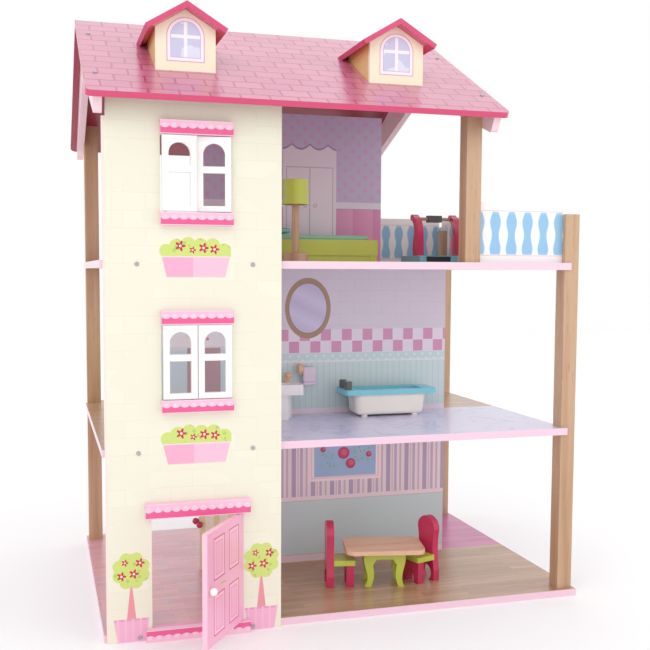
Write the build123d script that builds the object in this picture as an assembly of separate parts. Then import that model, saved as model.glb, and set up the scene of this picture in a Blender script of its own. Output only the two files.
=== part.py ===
from build123d import *
import math
import os

# ---------------------------------------------------------------- driving sizes (mm)
# +X runs along the front from the tower bay to the balcony, +Y to the back, +Z up.
# The origin is the middle of the underside of the base board.
base_w = 606.0            # base board, along X
base_lip = 3.0            # base board stands out past the upper floors, front and back
base_right_lip = 16.0     # base board past the right end of the upper floors
floor_d = 416.0           # middle and upper floor, along Y
board_t = 9.0             # floors and room walls
storey_h = 204.0          # clear height of a room
post_s = 20.0             # square posts
post_inset = 3.0          # left posts from the left edge, front and back posts from the edges
post_lap = 8.0            # how far a floor runs into the slot of a post
balcony_post_h = 62.0     # corner posts above the upper floor
roof_post_left = 443.0    # left face of the roof posts, from the left edge
screw_r = 1.5
screw_head_r = 2.6
screw_head_t = 1.2
fit_gap = 0.05            # radial clearance of pins and screws in their holes

facade_w = 203.0
facade_t = 7.0
facade_notch_w = 4.4      # corner cut away beside the end of the left truss
facade_notch_h = 34.0
bay_centre = 107.0        # middle of door and windows, from the left edge
rail_w = 82.0             # window rails
rail_d = 9.0              # rails, lintel and threshold stand out this far
sill_h = 14.5
head_h = 15.5
window_w = 81.0           # openings in the facade
window_h = 85.5
window_sill_up = (41.0, 39.0)   # sills above the middle and the upper floor
sash_t = 6.0
sash_edge_gap = 1.5
sash_mid_gap = 1.0
sash_end_gap = 1.0
sash_stile = 7.0
sash_foot = 6.5
sash_bar = 7.5
sash_top = 7.5
sash_lower_pane_h = 36.5
pin_r = 1.25
pin_in_rail = 6.0
pin_in_leaf = 6.0
sash_pin_edge = 3.5       # pin axis from the outer edge of a sash
ajar_angle = 8.0          # upper right sash at rest, swung inwards

door_w = 106.0            # door opening
door_bottom = 14.0
door_top = 143.0
lintel_w = 121.0
lintel_h = 17.0
leaf_w = 99.0
leaf_t = 6.5
leaf_end_gap = 1.0
leaf_pin_edge = 4.5
leaf_axis_inset = 5.0     # pin axis from the right side of the door opening
leaf_open_angle = 55.0
knob_r = 4.5
knob_edge = 7.3
knob_z = 78.0
knob_stem_r = 1.5
knob_stem_l = 4.0

wall_left = 143.0         # room walls, from the left edge
middle_wall_left = 23.0
wall_right = 507.0
attic_wall_right = 405.0

roof_t = 7.0
roof_pitch = 28.2
roof_left_over = 15.0     # roof past the left edge of the floors
roof_w = 495.0
eave_over = 32.0          # top edge of the eave past the facade
ridge_rise = 310.0        # ridge above the upper floor
roof_corner_r = 8.0
truss_t = 9.0
truss_end_in = 9.0        # truss ends inside the eave
truss_end_depth = 21.0
truss_mid_drop = 68.0     # below the ridge
truss_corner_r = 5.0

dormer_offset = 130.0     # dormers left and right of the roof's middle
dormer_w = 70.0
dormer_y = 171.0          # front face, from the ridge line
dormer_t = 6.0
dormer_wall_drop = 43.0   # top of the dormer walls below the ridge
dormer_apex_drop = 22.0
dormer_front_over = 14.0
dormer_side_over = 9.5

rail_board_t = 6.0        # balustrade boards
rail_board_h = 75.0
rail_corner_r = 6.0

stand_gap = 0.1           # loose toys above the floor they stand on

chair_w = 34.0
chair_d = 38.0
chair_h = 85.5
chair_board_t = 9.5
chair_seat_h = 36.0
chair_seat_t = 7.0
left_chair_at = (294.4, 101.1)    # middle of the back board's rear face, from left and front
left_chair_turn = -11.0
right_chair_at = (441.5, 93.2)
right_chair_turn = 198.0
table_l = 104.0
table_d = 68.0
table_h = 52.0
table_top_t = 5.5
table_frame_t = 8.0
table_frame_gap = 22.0
table_frame_l = 51.0
table_at = (370.2, 88.0)
table_turn = -12.0
tub_l = 134.0
tub_d = 50.0
tub_h = 38.0
tub_rim_t = 7.0
tub_wall = 5.0
tub_rim_over = 14.0       # rim past the shell at the ends
tub_side_over = 3.0       # rim past the shell at the sides
tub_taper = 4.0
tub_bottom_r = 5.0
tub_tap_gap = 24.0
tub_foot_h = 2.5
tub_at = (404.0, 172.0)
tap_r = 5.2
tap_h = 11.5
basin_at = (248.0, 170.0)
basin_w = 60.0
basin_d = 42.0
basin_h = 48.0
basin_bowl_h = 14.0
basin_stand_w = 19.0
basin_tap_x = 15.0
basin_tap_r = 4.2
lamp_at = (248.5, 90.0)
lamp_h = 103.0
lamp_shade_r = 16.5
lamp_shade_h = 31.0
lamp_shade_wall = 2.0
lamp_pole_r = 4.5
lamp_base_r = 16.5
lamp_base_h = 11.0
bed_at = (299.0, 165.0)
bed_l = 150.0
bed_d = 70.0
bed_board_t = 9.0
bed_rail_z = (9.0, 30.0)
bed_mattress_t = 7.0
bed_foot_l = 11.0
bed_plinth_in = 2.0
trainer_at = (451.0, 108.0)
trainer_w = 78.0
trainer_d = 70.0
trainer_base_h = 9.0
trainer_arm_t = 9.0
trainer_arm_gap = 46.0
trainer_arm_h = 54.0
trainer_bar_r = 2.2
trainer_grip_l = 19.0
holder_at = (294.5, 286.5)        # roll holder on the middle wall: from the left, height
holder_disc_r = 7.5
holder_rod_r = 1.6
holder_l = 26.0

# ---------------------------------------------------------------- worked-out places
left = -base_w / 2                            # left edge of all floors
floor_w = base_w - base_right_lip
right = left + floor_w
front = -floor_d / 2
back = floor_d / 2
base_top = board_t
middle_top = base_top + storey_h + board_t
upper_top = middle_top + storey_h + board_t
floor_tops = (middle_top, upper_top)
facade_front = front - facade_t
eave_y = eave_over - facade_front             # from the ridge line
ridge_z = upper_top + ridge_rise
window_sill_z = tuple(top + up for top, up in zip(floor_tops, window_sill_up))
truss_end_y = eave_y - truss_end_in
truss_mid_z = ridge_z - truss_mid_drop
dormer_wall_z = ridge_z - dormer_wall_drop
dormer_apex_z = ridge_z - dormer_apex_drop
pin_y = facade_front - rail_d / 2
bay_x = left + bay_centre
slope = math.tan(math.radians(roof_pitch))
cos_p = math.cos(math.radians(roof_pitch))
sin_p = math.sin(math.radians(roof_pitch))
under_drop = roof_t / cos_p
roof_left = left - roof_left_over
roof_mid = roof_left + roof_w / 2
left_post_x = left + post_inset
corner_post_x = right - post_lap
roof_post_x = left + roof_post_left
front_post_y = front + post_inset
back_post_y = back - post_inset - post_s
LOW = (Align.CENTER, Align.CENTER, Align.MIN)


def roof_top_z(y):
    return ridge_z - slope * abs(y)


def roof_under_z(y):
    return roof_top_z(y) - under_drop


def block(x0, x1, y0, y1, z0, z1):
    size = (x1 - x0, y1 - y0, z1 - z0)
    return Pos((x0 + x1) / 2, (y0 + y1) / 2, (z0 + z1) / 2) * Box(*size)


def board_xz(sketch, y0, thick):
    return extrude(Plane.XZ.offset(-y0) * sketch, amount=-thick)


def board_yz(sketch, x0, thick):
    return extrude(Plane.YZ.offset(x0) * sketch, amount=thick)


def outline(points):
    return make_face(Polyline(*points, close=True))


def rod(start, direction, radius, length):
    return Plane(origin=start, z_dir=direction) * Cylinder(radius, length, align=LOW)


def screw(start, direction, length):
    """A dome-headed wood screw whose head sits on the surface at start."""
    seat = Vector(*start)
    along = Vector(*direction).normalized()
    head = Plane(origin=seat - along * screw_head_t, z_dir=along) * Cylinder(
        screw_head_r, screw_head_t, align=LOW)
    rim = head.edges().filter_by(GeomType.CIRCLE).sort_by(lambda e: (e.center() - seat).dot(along))[0]
    head = fillet(rim, screw_head_t * 0.6)
    return head + rod(seat, along, screw_r, length)


def screw_hole(start, direction, length):
    along = Vector(*direction).normalized()
    return rod(Vector(*start) - along, along, screw_r + fit_gap, length + 1.5)


def apart(solids):
    return Compound(children=[s for part in solids for s in part.solids()])


# ---------------------------------------------------------------- screws that hold the house
facade_screw_x = (bay_x - 67.0, bay_x + 65.0)
facade_screw_z = tuple(top - board_t / 2 for top in (base_top, middle_top, upper_top))
facade_screw_l = facade_t + 16.0
facade_screw_places = [((x, facade_front, z), (0, 1, 0)) for x in facade_screw_x for z in facade_screw_z]

left_truss_x = left_post_x - truss_t
right_truss_x = roof_post_x + post_s
roof_screw_y = (54.0, 193.0)
roof_screw_l = roof_t + 13.0


def roof_screw_places():
    places = []
    for x in (left_truss_x + truss_t / 2, right_truss_x + truss_t / 2):
        for side in (-1, 1):
            for y in roof_screw_y:
                places.append(((x, side * y, roof_top_z(y)), (0, -side * sin_p, -cos_p)))
    return places


post_places = {
    "rear_left_post": (left_post_x, back_post_y),
    "front_right_post": (corner_post_x, front_post_y),
    "rear_right_post": (corner_post_x, back_post_y),
}
post_screw_sink = 2.0
post_screw_l = board_t - post_screw_sink + 14.0
post_screw_places = [((x + post_s / 2, y + post_s / 2, post_screw_sink), (0, 0, 1))
                     for x, y in post_places.values()]


# ---------------------------------------------------------------- floors, walls and posts
def base_floor():
    board = block(left, base_w / 2, front - base_lip, back + base_lip, 0, board_t)
    board -= block(left_post_x, left_post_x + facade_w, front - base_lip - 1, front, -1, board_t + 1)
    for place, along in facade_screw_places:
        if place[2] < board_t:
            board -= screw_hole(place, along, facade_screw_l)
    for place, along in post_screw_places:
        board -= screw_hole(place, along, post_screw_l)
        board -= Pos(place[0], place[1], -1) * Cylinder(
            screw_head_r + 0.6, post_screw_sink + 1, align=LOW)
    return board


def upper_board(top):
    board = block(left, right, front, back, top - board_t, top)
    board -= block(left - 1, left_post_x + post_s - post_lap, back_post_y, back + 1,
                   top - board_t - 1, top + 1)
    for place, along in facade_screw_places:
        if top - board_t < place[2] < top:
            board -= screw_hole(place, along, facade_screw_l)
    return board


def room_wall(x0, x1, floor_top):
    return block(left + x0, left + x1, -board_t / 2, board_t / 2, floor_top, floor_top + storey_h)


def corner_post(name):
    x, y = post_places[name]
    post = block(x, x + post_s, y, y + post_s, base_top, upper_top + balcony_post_h)
    for top in floor_tops:
        post -= block(x - 1, x + post_lap, y - 1, y + post_s + 1, top - board_t, top)
    for place, along in post_screw_places:
        post -= screw_hole(place, along, post_screw_l)
    return post


def sloped_post(x, y, foot):
    ends = [(y, foot), (y + post_s, foot), (y + post_s, roof_under_z(y + post_s)), (y, roof_under_z(y))]
    return board_yz(outline(ends), x, post_s)


def rear_left_post():
    x, y = post_places["rear_left_post"]
    post = sloped_post(x, y, base_top)
    for top in floor_tops:
        post -= block(x + post_s - post_lap, x + post_s + 1, y - 1, y + post_s + 1, top - board_t, top)
    for place, along in post_screw_places:
        post -= screw_hole(place, along, post_screw_l)
    return post


# ---------------------------------------------------------------- roof
def roof_panel(side):
    ez = roof_top_z(eave_y)
    section = [(0, ridge_z), (side * eave_y, ez),
               (side * (eave_y - roof_t * sin_p), ez - roof_t * cos_p), (0, ridge_z - under_drop)]
    panel = board_yz(outline(section), roof_left, roof_w)
    corners = [e for e in panel.edges().filter_by(lambda e: abs(e.length - roof_t) < 0.01)]
    panel = fillet(corners, roof_corner_r)
    for place, along in roof_screw_places():
        if place[1] * side > 0:
            panel -= screw_hole(place, along, roof_screw_l)
    return panel


def gable_truss(x):
    end_z = roof_under_z(truss_end_y)
    low_y = truss_end_y - truss_end_depth * sin_p
    low_z = end_z - truss_end_depth * cos_p
    section = [(0, ridge_z - under_drop), (-truss_end_y, end_z), (-low_y, low_z),
               (0, truss_mid_z), (low_y, low_z), (truss_end_y, end_z)]
    shape = outline(section)
    corners = [v for v in shape.vertices() if abs(v.Y - low_z) < 0.01]
    board = board_yz(fillet(corners, truss_corner_r), x, truss_t)
    for place, along in roof_screw_places():
        board -= screw_hole(place, along, roof_screw_l)
    return board


def under_roof():
    """Everything below the top face of the front roof panel, used to cut the dormers to it."""
    section = [(-eave_y, roof_top_z(eave_y)), (0, ridge_z), (0, 0), (-eave_y, 0)]
    return board_yz(outline(section), roof_left, roof_w)


def dormer_front(x):
    w = dormer_w / 2
    face = [(x - w, dormer_wall_z - 80), (x + w, dormer_wall_z - 80), (x + w, dormer_wall_z),
            (x, dormer_apex_z), (x - w, dormer_wall_z)]
    return board_xz(outline(face), -dormer_y, dormer_t) - under_roof()


def dormer_cheeks(x):
    y0 = -dormer_y + dormer_t
    y1 = -(ridge_z - dormer_wall_z) / slope
    side = [(y0, roof_top_z(y0)), (y1, dormer_wall_z), (y0, dormer_wall_z)]
    inner = x + dormer_w / 2 - dormer_t
    return apart([board_yz(outline(side), x - dormer_w / 2, dormer_t),
                  board_yz(outline(side), inner, dormer_t)])


def dormer_roof(x):
    fall = (dormer_apex_z - dormer_wall_z) / (dormer_w / 2)
    tilt = math.atan(fall)
    reach = dormer_w / 2 + dormer_side_over
    edge_z = dormer_apex_z - fall * reach
    lift = dormer_t / math.cos(tilt)
    y0 = -dormer_y - dormer_front_over
    boards = []
    for side in (-1, 1):
        section = [(x, dormer_apex_z), (x + side * reach, edge_z),
                   (x + side * (reach + dormer_t * math.sin(tilt)), edge_z + dormer_t * math.cos(tilt)),
                   (x, dormer_apex_z + lift)]
        boards.append(board_xz(outline(section), y0, -y0) - under_roof())
    return apart(boards)


# ---------------------------------------------------------------- facade, door and windows
def facade():
    top_front = roof_under_z(-facade_front)
    top_back = roof_under_z(-front)
    x0 = left_post_x
    side = [(facade_front, 0), (front, 0), (front, top_back), (facade_front, top_front)]
    panel = board_yz(outline(side), x0, facade_w)
    cut = facade_front - 1
    panel -= block(x0 - 1, x0 + facade_notch_w, cut, front + 1, top_back - facade_notch_h, top_back + 1)
    for z in window_sill_z:
        panel -= block(bay_x - window_w / 2, bay_x + window_w / 2, cut, front + 1,
                       z + sill_h, z + sill_h + window_h)
    panel -= block(bay_x - door_w / 2, bay_x + door_w / 2, cut, front + 1, door_bottom, door_top)
    for place, along in facade_screw_places:
        panel -= screw_hole(place, along, facade_screw_l)
    return panel


sash_w = (window_w - 2 * sash_edge_gap - sash_mid_gap) / 2
sash_axis_x = (bay_x - window_w / 2 + sash_edge_gap + sash_pin_edge,
               bay_x + window_w / 2 - sash_edge_gap - sash_pin_edge)
leaf_axis_x = bay_x + door_w / 2 - leaf_axis_inset


def pin_hole(x, z0, z1):
    return rod((x, pin_y, z0), (0, 0, 1), pin_r + fit_gap, z1 - z0)


def front_rail(width, z0, height):
    rail = block(bay_x - width / 2, bay_x + width / 2, facade_front - rail_d, facade_front,
                 z0, z0 + height)
    return rail


def window_rails(sill_z):
    sill = front_rail(rail_w, sill_z, sill_h)
    head_z = sill_z + sill_h + window_h
    head = front_rail(rail_w, head_z, head_h)
    for x in sash_axis_x:
        sill -= pin_hole(x, sill_z + sill_h - pin_in_rail, sill_z + sill_h + 1)
        head -= pin_hole(x, head_z - 1, head_z + pin_in_rail)
    return apart([sill, head])


def door_lintel():
    rail = front_rail(lintel_w, door_top, lintel_h)
    return rail - pin_hole(leaf_axis_x, door_top - 1, door_top + pin_in_rail)


def door_threshold():
    rail = front_rail(lintel_w, 0, door_bottom)
    return rail - pin_hole(leaf_axis_x, door_bottom - pin_in_rail, door_bottom + 1)


def sash(sill_z, side):
    """One casement sash; side is -1 for the left one and 1 for the right one."""
    z0 = sill_z + sill_h + sash_end_gap
    z1 = sill_z + sill_h + window_h - sash_end_gap
    axis_x = sash_axis_x[0 if side < 0 else 1]
    outer = axis_x + side * sash_pin_edge
    inner = outer - side * sash_w
    x0, x1 = min(outer, inner), max(outer, inner)
    leaf = block(x0, x1, pin_y - sash_t / 2, pin_y + sash_t / 2, z0, z1)
    pane = (x0 + sash_stile, x1 - sash_stile)
    low_top = z0 + sash_foot + sash_lower_pane_h
    leaf -= block(*pane, pin_y - sash_t, pin_y + sash_t, z0 + sash_foot, low_top)
    arch_r = (pane[1] - pane[0]) / 2
    spring_z = z1 - sash_top - arch_r
    leaf -= block(*pane, pin_y - sash_t, pin_y + sash_t, low_top + sash_bar, spring_z)
    leaf -= rod(((pane[0] + pane[1]) / 2, pin_y - sash_t, spring_z), (0, 1, 0), arch_r, 2 * sash_t)
    leaf -= pin_hole(axis_x, z0 - 1, z0 + pin_in_leaf)
    leaf -= pin_hole(axis_x, z1 - pin_in_leaf, z1 + 1)
    return leaf


def turned(shape, axis_x, angle):
    return shape.rotate(Axis((axis_x, pin_y, 0), (0, 0, 1)), angle)


def door_leaf():
    x1 = leaf_axis_x + leaf_pin_edge
    z0 = door_bottom + leaf_end_gap
    z1 = door_top - leaf_end_gap
    leaf = block(x1 - leaf_w, x1, pin_y - leaf_t / 2, pin_y + leaf_t / 2, z0, z1)
    leaf = fillet(leaf.edges().filter_by(Axis.Z), 1.0)
    leaf -= pin_hole(leaf_axis_x, z0 - 1, z0 + pin_in_leaf)
    leaf -= pin_hole(leaf_axis_x, z1 - pin_in_leaf, z1 + 1)
    stem = rod((x1 - leaf_w + knob_edge, pin_y - leaf_t, knob_z), (0, 1, 0), knob_stem_r + fit_gap,
               leaf_t / 2 + knob_stem_l)
    return turned(leaf - stem, leaf_axis_x, leaf_open_angle)


def door_knob():
    x = leaf_axis_x + leaf_pin_edge - leaf_w + knob_edge
    face = pin_y - leaf_t / 2
    ball = Pos(x, face - knob_r + 0.6, knob_z) * Sphere(knob_r)
    ball -= block(x - 9, x + 9, face, face + 9, knob_z - 9, knob_z + 9)
    stem = rod((x, face - knob_r, knob_z), (0, 1, 0), knob_stem_r, knob_r + knob_stem_l - 0.6)
    return turned(ball + stem, leaf_axis_x, leaf_open_angle)


def hinge_pins():
    pins = []
    ends = [(leaf_axis_x, door_bottom, leaf_end_gap), (leaf_axis_x, door_top, -leaf_end_gap)]
    for z in window_sill_z:
        for x in sash_axis_x:
            ends.append((x, z + sill_h, sash_end_gap))
            ends.append((x, z + sill_h + window_h, -sash_end_gap))
    for x, z, gap in ends:
        up = 1 if gap > 0 else -1
        start = z - up * (pin_in_rail - 0.5)
        length = pin_in_rail - 0.5 + abs(gap) + pin_in_leaf - 0.5
        pins.append(rod((x, pin_y, start), (0, 0, up), pin_r, length))
    return apart(pins)


# ---------------------------------------------------------------- balustrades
def rail_board(length):
    board = RectangleRounded(length, rail_board_h, rail_corner_r)
    lower = Pos(0, -rail_board_h / 4) * Rectangle(length, rail_board_h / 2)
    return Pos(0, rail_board_h / 2) * (board + lower)


def cross_balustrade(post_y):
    x0 = roof_post_x + post_s
    length = corner_post_x - x0
    sketch = Pos(x0 + length / 2, upper_top) * rail_board(length)
    return board_xz(sketch, post_y + (post_s - rail_board_t) / 2, rail_board_t)


def side_balustrade():
    length = back_post_y - front_post_y - post_s
    sketch = Pos(0, upper_top) * rail_board(length)
    return board_yz(sketch, right - 1.0 - rail_board_t, rail_board_t)


# ---------------------------------------------------------------- furniture
def placed(shape, at, floor_top, turn=0.0):
    return Pos(left + at[0], front + at[1], floor_top + stand_gap) * Rot(0, 0, turn) * shape


def chair_back_outline():
    w = chair_w / 2
    h = chair_h
    waist = w - 3.0
    line = [Line((-w, 0), (-w, 14)), Spline((-w, 14), (-waist, h * 0.52), (-w + 0.5, h * 0.8)),
            Spline((-w + 0.5, h * 0.8), (-w * 0.62, h - 4), (0, h), (w * 0.62, h - 4), (w - 0.5, h * 0.8)),
            Spline((w - 0.5, h * 0.8), (waist, h * 0.52), (w, 14)), Line((w, 14), (w, 0)),
            Line((w, 0), (w - 10, 0)), ThreePointArc((w - 10, 0), (0, 20), (-w + 10, 0)),
            Line((-w + 10, 0), (-w, 0))]
    return make_face(Wire(line))


def chair_front_outline():
    w = chair_w / 2 - 1.0
    top = chair_seat_h - chair_seat_t
    face = outline([(-w, 0), (-w, top), (w, top), (w, 0)])
    return face - Ellipse(w - 9.0, top * 0.6)


def chair_frame():
    back_board = board_yz(chair_back_outline(), 0, chair_board_t)
    front_board = board_yz(chair_front_outline(), chair_d - chair_board_t - 2.0, chair_board_t)
    return apart([back_board, front_board])


def chair_seat():
    seat = block(chair_board_t, chair_d, -chair_w / 2 - 0.5, chair_w / 2 + 0.5,
                 chair_seat_h - chair_seat_t, chair_seat_h)
    return fillet(seat.edges().filter_by(Axis.Z).sort_by(Axis.X)[-2:], 2.5)


def table_top():
    top = RectangleRounded(table_l, table_d, 12)
    return extrude(Pos(0, 0, table_h - table_top_t) * top, table_top_t)


def leg_frame_outline():
    w = table_frame_l / 2
    h = table_h - table_top_t
    leg = 8.5
    half = [Line((0, h), (w, h)), Spline((w, h), (w + 1.5, h * 0.7), (w - 2.5, h * 0.3), (w + 1, 0)),
            Line((w + 1, 0), (w + 1 - leg, 0)),
            Spline((w + 1 - leg, 0), (w - 2.5 - leg, h * 0.3), (w - 1.0 - leg, h * 0.62)),
            Line((w - 1.0 - leg, h * 0.62), (w - 6 - leg, h - 10)), Line((w - 6 - leg, h - 10), (0, h - 10)),
            Line((0, h - 10), (0, h))]
    face = make_face(Wire(half))
    return face + mirror(face, about=Plane.YZ)


def table_legs():
    reach = table_frame_gap / 2
    return apart([board_xz(leg_frame_outline(), -reach - table_frame_t, table_frame_t),
                  board_xz(leg_frame_outline(), reach, table_frame_t)])


def tub_shell():
    bottom = tub_foot_h
    top = tub_h - tub_rim_t
    high_l = tub_l - 2 * tub_rim_over
    high_d = tub_d - 2 * tub_side_over
    low_l = high_l - 2 * tub_taper
    low_d = high_d - tub_taper
    body = loft([Pos(0, 0, bottom) * RectangleRounded(low_l, low_d, 8),
                 Pos(0, 0, top) * RectangleRounded(high_l, high_d, 10)])
    body = fillet(body.faces().sort_by(Axis.Z)[0].edges(), tub_bottom_r)
    hollow_low = RectangleRounded(low_l - 2 * tub_wall, low_d - 2 * tub_wall, 4)
    hollow_high = RectangleRounded(high_l - 2 * tub_wall, high_d - 2 * tub_wall, 6)
    body -= loft([Pos(0, 0, bottom + tub_wall) * hollow_low,
                  Pos(0, 0, top + 0.01) * hollow_high])
    foot_x = low_l / 2 - 12
    foot_y = low_d / 2 - 7
    for sx in (-1, 1):
        for sy in (-1, 1):
            body += Pos(sx * foot_x, sy * foot_y, 0) * Cylinder(4.5, bottom + 0.5, align=LOW)
    return body


def tub_rim():
    rim = RectangleRounded(tub_l, tub_d, 5)
    rim -= RectangleRounded(tub_l - 2 * (tub_rim_over + tub_wall),
                            tub_d - 2 * (tub_side_over + tub_wall), 6)
    ring = extrude(Pos(0, 0, tub_h - tub_rim_t) * rim, tub_rim_t)
    return ring


def tub_taps():
    x = -tub_l / 2 + tap_r + 1.5
    taps = []
    for y in (-tub_tap_gap / 2, tub_tap_gap / 2):
        tap = Pos(x, y, tub_h) * Cylinder(tap_r, tap_h, align=LOW)
        taps.append(chamfer(tap.edges().filter_by(GeomType.CIRCLE).sort_by(Axis.Z)[-1], 0.8))
    return apart(taps)


def basin_stand():
    h = basin_h - basin_bowl_h
    pedestal = block(-basin_stand_w / 2, basin_stand_w / 2, -basin_d / 2 + 4, 7.5, 0, h)
    pedestal = fillet(pedestal.edges().filter_by(Axis.Z), 3)
    back_board = block(-basin_stand_w, basin_stand_w, 7.5, 15.5, 0, h)
    return apart([pedestal, back_board])


def basin_bowl():
    z = basin_h - basin_bowl_h
    bowl = extrude(Pos(0, 0, z) * RectangleRounded(basin_w, basin_d, 6), basin_bowl_h)
    hollow = extrude(Pos(0, -4, z + 5) * RectangleRounded(basin_w - 16, basin_d - 18, 8), basin_bowl_h)
    return bowl - hollow


def basin_tap():
    x = basin_tap_x
    y = basin_d / 2 - 5
    body = Pos(x, y, basin_h) * Cylinder(basin_tap_r, 8, align=LOW)
    spout = block(x - 4, x + 4, y - 16, y + basin_tap_r, basin_h + 8, basin_h + 13)
    return body + fillet(spout.edges().filter_by(Axis.Z), 2)


def lamp_stand():
    foot = Cylinder(lamp_base_r, lamp_base_h, align=LOW)
    foot = fillet(foot.edges().filter_by(GeomType.CIRCLE).sort_by(Axis.Z)[-1], 2)
    pole_top = lamp_h - lamp_shade_h / 2
    return foot + Pos(0, 0, lamp_base_h) * Cylinder(lamp_pole_r, pole_top - lamp_base_h, align=LOW)


def lamp_shade():
    z = lamp_h - lamp_shade_h
    shade = Pos(0, 0, z) * Cylinder(lamp_shade_r, lamp_shade_h, align=LOW)
    shade -= Pos(0, 0, z - 1) * Cylinder(lamp_shade_r - lamp_shade_wall, lamp_shade_h / 2 + 1, align=LOW)
    return shade


def bed_frame():
    x = bed_l / 2
    y = bed_d / 2
    low, high = bed_rail_z
    t = bed_board_t
    deck = block(-x + t, x - t, -y + t, y - t, low, high - 4)
    solids = [deck]
    for sy in (-1, 1):
        y0, y1 = sorted((sy * y, sy * (y - t)))
        solids.append(block(-x + t, x - t, y0, y1, low, high))
    for sx in (-1, 1):
        x0, x1 = sorted((sx * x, sx * (x - t)))
        solids.append(block(x0, x1, -y, y, low if sx > 0 else 0, high if sx > 0 else high + 26))
    plinth_end = x - bed_foot_l
    solids.append(block(-x + t, plinth_end, -y + bed_plinth_in, y - bed_plinth_in, 0, low))
    for sy in (-1, 1):
        y0, y1 = sorted((sy * (y - 1), sy * (y - 1 - bed_foot_l)))
        solids.append(block(plinth_end, x - 1, y0, y1, 0, low))
    frame = solids[0]
    for s in solids[1:]:
        frame += s
    return frame


def bed_mattress():
    t = bed_board_t + 0.5
    z = bed_rail_z[1] - 4
    pad = block(-bed_l / 2 + t, bed_l / 2 - t, -bed_d / 2 + t, bed_d / 2 - t,
                z + 0.3, z + 4.3 + bed_mattress_t)
    return fillet(pad.edges().group_by(Axis.Z)[-1], 2.5)


def bed_pillow():
    z = bed_rail_z[1] + bed_mattress_t + 0.6
    pad = block(-bed_l / 2 + 10, -bed_l / 2 + 34, -bed_d / 2 + 14, bed_d / 2 - 14, z, z + 9)
    return fillet(pad.edges().group_by(Axis.Z)[-1], 3.5)


def trainer_base():
    w = trainer_w / 2
    deck = block(-w, w, -trainer_d / 2, trainer_d / 2, 0, trainer_base_h)
    return fillet(deck.edges().filter_by(Axis.Z), 3)


def arm_outline():
    h = trainer_arm_h
    edge = [Line((-10, 0), (6, 0)), Spline((6, 0), (8, h * 0.35), (5, h * 0.7), (17, h - 5)),
            ThreePointArc((17, h - 5), (16, h + 1), (10, h)),
            Spline((10, h), (-5, h * 0.75), (-8, h * 0.4), (-10, 0))]
    return make_face(Wire(edge))


def trainer_arms():
    x = trainer_arm_gap / 2
    z = Pos(0, 0, trainer_base_h)
    hole = rod((-trainer_w, 12, trainer_arm_h - 4), (1, 0, 0), trainer_bar_r + fit_gap, 2 * trainer_w)
    return apart([z * (board_yz(arm_outline(), -x - trainer_arm_t, trainer_arm_t) - hole),
                  z * (board_yz(arm_outline(), x, trainer_arm_t) - hole)])


def trainer_bar():
    x = trainer_arm_gap / 2 + trainer_arm_t
    z = trainer_base_h + trainer_arm_h - 4
    bar = rod((-x, 12, z), (1, 0, 0), trainer_bar_r, 2 * x)
    grip = trainer_grip_l / 2
    return bar + block(-grip, grip, 7, 17, z - 4.5, z + 4.5)


def roll_holder():
    x0 = left + holder_at[0] - holder_l / 2
    z = holder_at[1]
    wall_y = -board_t / 2
    y = wall_y - holder_disc_r - 0.5
    disc = rod((x0, y, z), (1, 0, 0), holder_disc_r, 5)
    disc += block(x0, x0 + 5, y, wall_y, z - 4, z + 4)
    return disc + rod((x0 + 5, y, z), (1, 0, 0), holder_rod_r, holder_l - 5)


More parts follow.
